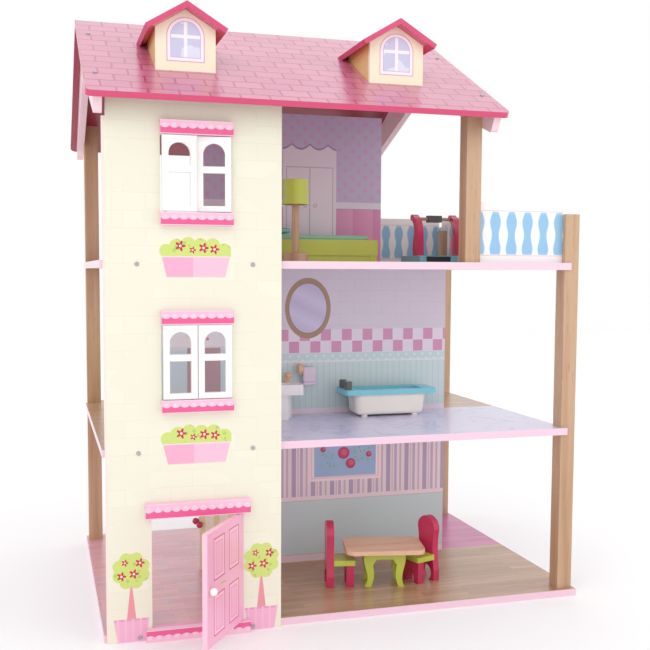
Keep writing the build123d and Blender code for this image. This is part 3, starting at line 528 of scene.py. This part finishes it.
def railPrint(name, bands, turned=False, pitch=0.0103):
    paint = Finish(name, 0.34, 0.25)
    x, y, z = paint.axes(paint.place)
    nx, ny, nz = paint.axes(paint.facing)
    colour = paint.layer(tint(246, 200, 220), tint(244, 194, 216), paint.noise(paint.place, 40.0))
    for low, high in bands:
        tall = high - low
        level = (high - z) + low if turned else z
        hot = paint.layer(tint(238, 96, 152), tint(232, 84, 142), paint.noise(paint.place, 30.0))
        lace = scallops(x - bayX, level, low + tall * 0.62, pitch, tall * 0.2)
        tone = paint.layer(hot, tint(246, 192, 216), lace)
        inner = disc((x - bayX) % pitch, level, pitch / 2, low + tall * 0.60, tall * 0.17)
        tone = paint.layer(tone, tint(249, 208, 225), inner)
        tone = paint.layer(tone, tint(250, 204, 222), level > high - tall * 0.08)
        tone = paint.layer(tone, tint(250, 206, 222), level < low + tall * 0.05)
        colour = paint.layer(colour, tone, band(z, low, high) * (ny < -0.5))
    return paint.finished(colour, paint.noise(paint.place, 600.0, 2.0), 0.05, 0.0002)


def doorPrint():
    opened = math.radians(55.0)
    paint = Finish("doorPrint", 0.3, 0.35)
    x, y, z = paint.axes(paint.place)
    nx, ny, nz = paint.axes(paint.facing)
    pinX = -0.148
    along = (x - pinX) * -math.cos(opened) + (y - pinY) * -math.sin(opened)  # from the pins to the free edge
    front = nx * math.sin(opened) + ny * -math.cos(opened)
    colour = paint.layer(tint(244, 178, 206), tint(240, 166, 198), paint.noise(paint.place, 16.0, 3.0))
    for lowA, highA in ((0.010, 0.037), (0.049, 0.078)):
        for lowZ, highZ in ((0.024, 0.070), (0.086, 0.133)):
            for inset, shade in ((0.0, tint(198, 56, 108)), (0.0013, tint(248, 190, 214)),
                                 (0.0052, tint(222, 118, 158)),
                                 (0.0060, tint(243, 174, 203))):
                box = band(along, lowA + inset, highA - inset) * band(z, lowZ + inset, highZ - inset)
                colour = paint.layer(colour, shade, box)
    slot = band(along, 0.046, 0.062) * band(z, 0.0765, 0.0795)
    colour = paint.layer(colour, tint(222, 196, 130), slot)
    colour = paint.layer(colour, tint(190, 156, 96), band(along, 0.048, 0.060) * band(z, 0.0776, 0.0784))
    colour = paint.layer(colour, tint(248, 198, 218), abs(front) < 0.6)
    return paint.finished(colour, paint.noise(paint.place, 600.0, 2.0), 0.05, 0.0002)


def gripBar():  # a wooden bar with a grip round its middle
    paint = Finish("gripBar", 0.5)
    x, y, z = paint.axes(paint.place)
    wood = paint.layer(tint(196, 158, 126), tint(172, 134, 104), paint.noise(paint.place, 90.0))
    gripped = abs(x - 0.148) < 0.0095
    colour = paint.layer(wood, tint(84, 86, 84), gripped)
    return paint.finished(colour, paint.noise(paint.place, 900.0), 0.2, 0.0003)


def steel():
    metal = Finish("zincSteel", 0.3, 0.0, 1.0)
    smear = metal.noise(metal.place, 400.0, 3.0)
    colour = metal.layer(tint(196, 196, 198), tint(160, 160, 166), smear)
    return metal.finished(colour, smear, 0.1, 0.0001, smear * 0.2 + 0.2)


def weave(name, red, green, blue):
    cloth = Finish(name, 0.85)
    x, y, z = cloth.axes(cloth.place)
    warp = ((x + z) * 5200.0).maths("SINE", (x + z) * 5200.0)
    weft = ((y + z) * 5200.0).maths("SINE", (y + z) * 5200.0)
    threads = warp * weft
    fuzz = cloth.noise(cloth.place, 500.0, 3.0)
    shade = tint(red * 0.86, green * 0.88, blue * 0.88)
    colour = cloth.layer(tint(red, green, blue), shade, threads * 0.3 + 0.25)
    colour = cloth.layer(colour, tint(min(255, red * 1.1), min(255, green * 1.08), min(255, blue * 1.08)),
                         (fuzz - 0.45) * 0.8)
    return cloth.finished(colour, threads * 0.5 + fuzz, 0.35, 0.0003)


print("making materials")
beechUp = timber("beechUpright", "z", (202, 166, 134), (182, 140, 106))
beechFlat = timber("beechFlat", "x", (232, 192, 156), (212, 164, 128))
ochreSide = timber("ochreCheek", "y", (240, 207, 134), (226, 188, 112))
crimson = satin("crimsonPaint", 200, 42, 88)
lime = satin("limePaint", 194, 204, 74)
white = satin("whitePaint", 246, 244, 242)
cream = satin("creamEnamel", 244, 240, 228)
aqua = satin("aquaPaint", 126, 206, 222)
teal = satin("tealPaint", 110, 176, 184)
slate = satin("slatePaint", 96, 98, 92)
trussPaint = satin("trussPaint", 246, 214, 222)
lightGrey = satin("lightGreyPaint", 172, 200, 204)
metal = steel()
roof = roofPrint()
dormerRoof = crimsonRoofEdge()
upperFloor = floorPrint("upperFloorPrint", bedroomBoards, tanBoards, mauveBoards, -0.16,
                        (240, 208, 222), (226, 206, 220))
middleFloor = floorPrint("middleFloorPrint", marble, tanBoards, tanBoards, -0.16,
                         (240, 204, 222), (222, 208, 222))
baseFloor = floorPrint("baseFloorPrint", tanBoards, magentaBoards, mauveBoards, -0.098,
                       (238, 200, 216), (214, 186, 170))

looks = {
    "base_floor": baseFloor, "middle_floor": middleFloor, "upper_floor": upperFloor,
    "front_facade": facadePrint(), "ground_wall": groundPaper(), "middle_wall": middlePaper(),
    "attic_wall": atticPaper(), "front_roof_panel": roof, "rear_roof_panel": roof,
    "left_gable_truss": trussPaint, "right_gable_truss": trussPaint,
    "left_dormer_front": dormerPrint("leftDormerPrint", -0.2005),
    "right_dormer_front": dormerPrint("rightDormerPrint", 0.0595),
    "left_dormer_cheeks": ochreSide, "right_dormer_cheeks": ochreSide,
    "left_dormer_roof": dormerRoof, "right_dormer_roof": dormerRoof,
    "front_balustrade": balustradePrint("frontBalustradePrint", "x", 0.0065),
    "rear_balustrade": balustradePrint("rearBalustradePrint", "x", 0.0065),
    "side_balustrade": balustradePrint("sideBalustradePrint", "y", 0.0),
    "door_lintel": railPrint("lintelPrint", [(0.143, 0.160)]),
    "door_threshold": railPrint("thresholdPrint", [(0.0, 0.014)], True),
    "middle_window_rails": railPrint("middleRailPrint", [(0.263, 0.2775), (0.363, 0.3785)]),
    "upper_window_rails": railPrint("upperRailPrint", [(0.474, 0.4885), (0.574, 0.5895)]),
    "door_leaf": doorPrint(), "door_knob": white, "roll_holder": beechFlat,
    "hinge_pins": metal, "facade_screws": metal, "roof_screws": metal, "post_screws": metal,
    "table_top": beechFlat, "table_legs": lime,
    "bathtub_shell": cream, "bathtub_rim": aqua, "bathtub_taps": slate,
    "washbasin_stand": white, "washbasin_bowl": white, "washbasin_tap": beechFlat,
    "lamp_stand": beechUp, "lamp_shade": lime, "bed_frame": lime,
    "trainer_base": teal, "trainer_arms": crimson, "trainer_bar": gripBar(),
}
for name in ("rear_left_post", "front_right_post", "rear_right_post", "front_roof_post", "rear_roof_post"):
    looks[name] = beechUp
for name in ("middle_left_sash", "middle_right_sash", "upper_left_sash", "upper_right_sash"):
    looks[name] = white
for name in ("left_chair", "right_chair"):
    looks[name + "_frame"] = crimson
    looks[name + "_seat"] = lime
for name, look in looks.items():
    for place in nodes[name].material_slots:
        place.material = look


# ---- new pieces
def finishMesh(work, name, look, body, smooth=True):
    bmesh.ops.remove_doubles(work, verts=work.verts, dist=1e-6)
    bmesh.ops.recalc_face_normals(work, faces=work.faces)
    mesh = bpy.data.meshes.new(name)
    work.to_mesh(mesh)
    work.free()
    for face in mesh.polygons:
        face.use_smooth = smooth
    piece = bpy.data.objects.new(name, mesh)
    bpy.context.scene.collection.objects.link(piece)
    mesh.materials.append(look)
    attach(piece, body)
    return piece


def softBlock(low, high, cuts, edge):  # a rounded box with enough faces to crown and dent
    work = bmesh.new()
    bmesh.ops.create_cube(work, size=1.0)
    size = Vector(high) - Vector(low)
    bmesh.ops.scale(work, vec=size, verts=work.verts)
    bmesh.ops.translate(work, vec=(Vector(low) + Vector(high)) / 2, verts=work.verts)
    bmesh.ops.bevel(work, geom=work.edges[:], offset=edge, segments=4, profile=0.5, affect="EDGES",
                    material=-1)
    long = [e for e in work.edges if e.calc_length() > edge * 2]
    bmesh.ops.subdivide_edges(work, edges=long, cuts=cuts, use_grid_fill=True)
    return work


def makeMattress():
    sizes = {"inset": 0.0006, "edge": 0.0022, "crown": 0.0011}
    low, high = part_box("bed_mattress")
    work = softBlock([c + sizes["inset"] for c in low], [c - sizes["inset"] for c in high], 12, sizes["edge"])
    middle = (Vector(low) + Vector(high)) / 2
    for v in work.verts:
        across = (v.co.x - middle.x) / (high[0] - low[0]) * 2
        deep = (v.co.y - middle.y) / (high[1] - low[1]) * 2
        if v.co.z > middle.z:
            v.co.z -= sizes["crown"] * (across ** 4 + deep ** 4) * 0.5
        v.co.y -= 0.0005 * math.sin(across * 9.0) * (1 - deep * deep)
    piece = finishMesh(work, "bed_mattress_cloth", weave("mintCloth", 160, 214, 190), "bed")
    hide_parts("bed_mattress")


def makePillow():
    sizes = {"inset": 0.0006, "edge": 0.0028, "pinch": 0.0022}
    low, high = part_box("bed_pillow")
    work = softBlock([c + sizes["inset"] for c in low], [c - sizes["inset"] for c in high], 8, sizes["edge"])
    middle = (Vector(low) + Vector(high)) / 2
    half = (Vector(high) - Vector(low)) / 2
    for v in work.verts:
        across = (v.co.x - middle.x) / half.x
        deep = (v.co.y - middle.y) / half.y
        v.co.z = middle.z - 0.0008 + (v.co.z - middle.z) * (1.0 - 0.55 * max(across ** 4, deep ** 4))
        v.co.x -= across * sizes["pinch"] * (1 - deep * deep) * 0.4
        v.co.y -= deep * sizes["pinch"] * (1 - across * across) * 0.5
    bottom = min(v.co.z for v in work.verts)
    for v in work.verts:
        v.co.z += low[2] + 0.0002 - bottom
    piece = finishMesh(work, "bed_pillow_cloth", weave("aquaCloth", 150, 218, 214), "bed")
    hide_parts("bed_pillow")


def makeTowel():
    sizes = {"width": 0.0185, "drop": 0.023, "back": 0.006, "thick": 0.0006}
    low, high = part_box("roll_holder")
    rodZ = (low[2] + high[2]) / 2
    rodY = low[1] + 0.0075
    work = bmesh.new()
    start = low[0] + 0.0065
    radius = 0.0022
    path = [(rodY + radius, rodZ - sizes["back"])]
    turns = [math.pi * k / 8 for k in range(9)]
    path += [(rodY + radius * math.cos(a), rodZ + radius * math.sin(a)) for a in turns]
    path += [(rodY - radius - 0.0006 * math.sin(k * 0.9), rodZ - sizes["drop"] * k / 8) for k in range(1, 9)]
    row = [work.verts.new((start, y, z)) for y, z in path]
    edges = [work.edges.new(pair) for pair in zip(row, row[1:])]
    for step in range(8):
        grown = bmesh.ops.extrude_edge_only(work, edges=edges)["geom"]
        fresh = [g for g in grown if isinstance(g, bmesh.types.BMVert)]
        bmesh.ops.translate(work, vec=(sizes["width"] / 8, 0, 0), verts=fresh)
        edges = [g for g in grown if isinstance(g, bmesh.types.BMEdge) and all(v in fresh for v in g.verts)]
    for v in work.verts:
        fall = max(0.0, rodZ - v.co.z)
        if v.co.y < rodY:
            v.co.y -= abs(math.sin((v.co.x - start) * 520.0)) * fall * 0.05
    bmesh.ops.recalc_face_normals(work, faces=work.faces)
    towel = Finish("towelCloth", 0.9)
    fuzz = towel.noise(towel.place, 900.0, 3.0)
    hz = towel.axes(towel.place)[2]
    colour = towel.layer(tint(232, 218, 232), tint(214, 198, 216), fuzz * 0.6)
    colour = towel.layer(colour, tint(206, 160, 196), (abs(hz - (rodZ - 0.018)) < 0.0009) * 0.7)
    look = towel.finished(colour, fuzz, 0.5, 0.0004)
    piece = finishMesh(work, "towel", look, "house")
    thick = piece.modifiers.new("thickness", "SOLIDIFY")
    thick.thickness = sizes["thick"]
    thick.offset = 1.0


def plainBox(name, low, high, look, body, bevel=0.0006):
    work = bmesh.new()
    bmesh.ops.create_cube(work, size=1.0)
    bmesh.ops.scale(work, vec=Vector(high) - Vector(low), verts=work.verts)
    bmesh.ops.translate(work, vec=(Vector(low) + Vector(high)) / 2, verts=work.verts)
    bmesh.ops.bevel(work, geom=work.edges[:], offset=bevel, segments=2, profile=0.5, affect="EDGES",
                    material=-1)
    return finishMesh(work, name, look, body, False)


def makeTrainerTrim():
    low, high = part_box("trainer_base")
    rubber = satin("treadPad", 38, 38, 44, 0.7, 0.0)
    front = low[1]
    plainBox("trainer_tread_pad", (low[0] + 0.009, front - 0.0004, low[2] + 0.0012),
             (low[0] + 0.043, front + 0.003, high[2] - 0.0012), rubber, "trainer", 0.0002)
    plainBox("trainer_light_pad", (low[0] + 0.053, front - 0.0004, low[2] + 0.0012),
             (low[0] + 0.068, front + 0.003, high[2] - 0.0012), lightGrey, "trainer", 0.0002)
    top = high[2]
    upright = timber("uprightWood", "z", (176, 140, 112), (150, 114, 88))
    plainBox("trainer_upright", (low[0] + 0.046, low[1] + 0.040, top),
             (low[0] + 0.056, low[1] + 0.050, top + 0.034),
             upright, "trainer")
    plainBox("trainer_upright_cap", (low[0] + 0.0455, low[1] + 0.0395, top + 0.034),
             (low[0] + 0.0565, low[1] + 0.0505, top + 0.039), lightGrey, "trainer")


def makeCoatKnobs():  # two turned knobs on the end of the ground wall
    work = bmesh.new()
    for place in ((-0.1645, 0.001, 0.0769), (-0.1606, -0.0085, 0.0737)):  # end face, then front corner
        bmesh.ops.create_uvsphere(work, u_segments=24, v_segments=14, radius=0.0046,
                                  matrix=Matrix.Translation(place))
    return finishMesh(work, "coat_knobs", crimson, "house")


print("making soft pieces")
makeCoatKnobs()
makeMattress()
makePillow()
makeTowel()
makeTrainerTrim()


# ---- floor, light and camera
def makeStudio():
    work = bmesh.new()
    bmesh.ops.create_grid(work, x_segments=1, y_segments=1, size=6.0)
    mesh = bpy.data.meshes.new("studio_floor")
    work.to_mesh(mesh)
    work.free()
    floor = bpy.data.objects.new("studio_floor", mesh)
    bpy.context.scene.collection.objects.link(floor)
    paper = Finish("studioPaper", 0.9)
    pale = paper.layer(tint(255, 255, 255), tint(253, 253, 254), paper.noise(paper.place, 2.0))
    mesh.materials.append(paper.finished(pale))
    world = bpy.data.worlds.new("studio")
    bpy.context.scene.world = world
    world.use_nodes = True
    world.node_tree.nodes["Background"].inputs[0].default_value = (1.0, 1.0, 1.0, 1.0)
    world.node_tree.nodes["Background"].inputs[1].default_value = 1.0
    lamps = {"key": ((-1.6, -2.2, 2.3), 1.8, 14.0), "fill": ((1.9, -1.8, 1.4), 2.2, 7.0),
             "back": ((0.4, 1.8, 1.8), 2.0, 3.0)}
    for name, (place, size, power) in lamps.items():
        data = bpy.data.lights.new(name, "AREA")
        data.size = size
        data.energy = power
        lamp = bpy.data.objects.new(name, data)
        bpy.context.scene.collection.objects.link(lamp)
        toward = Vector((0.0, 0.0, 0.35)) - Vector(place)
        lamp.matrix_world = Matrix.Translation(place) @ toward.to_track_quat("-Z", "Y").to_matrix().to_4x4()


def makeCamera():
    view = {"place": (-0.3663, -1.2776, 0.4236), "yaw": 15.945, "pitch": 4.21, "roll": 0.004, "lens": 52.17}
    yaw, pitch = math.radians(view["yaw"]), math.radians(view["pitch"])
    ahead = Vector((math.sin(yaw) * math.cos(pitch), math.cos(yaw) * math.cos(pitch), -math.sin(pitch)))
    side = Vector((math.cos(yaw), -math.sin(yaw), 0.0))
    over = side.cross(ahead)
    turnedSide = side * math.cos(view["roll"]) + over * math.sin(view["roll"])
    turnedOver = over * math.cos(view["roll"]) - side * math.sin(view["roll"])
    data = bpy.data.cameras.new("camera")
    data.lens = view["lens"]
    data.sensor_width = 36.0
    data.shift_x = 0.0235
    data.shift_y = 0.0234
    camera = bpy.data.objects.new("camera", data)
    bpy.context.scene.collection.objects.link(camera)
    turn = Matrix((turnedSide, turnedOver, -ahead)).transposed().to_4x4()
    camera.matrix_world = Matrix.Translation(view["place"]) @ turn
    bpy.context.scene.camera = camera
    bpy.context.scene.view_settings.view_transform = "Standard"


print("setting the studio")
makeStudio()
makeCamera()
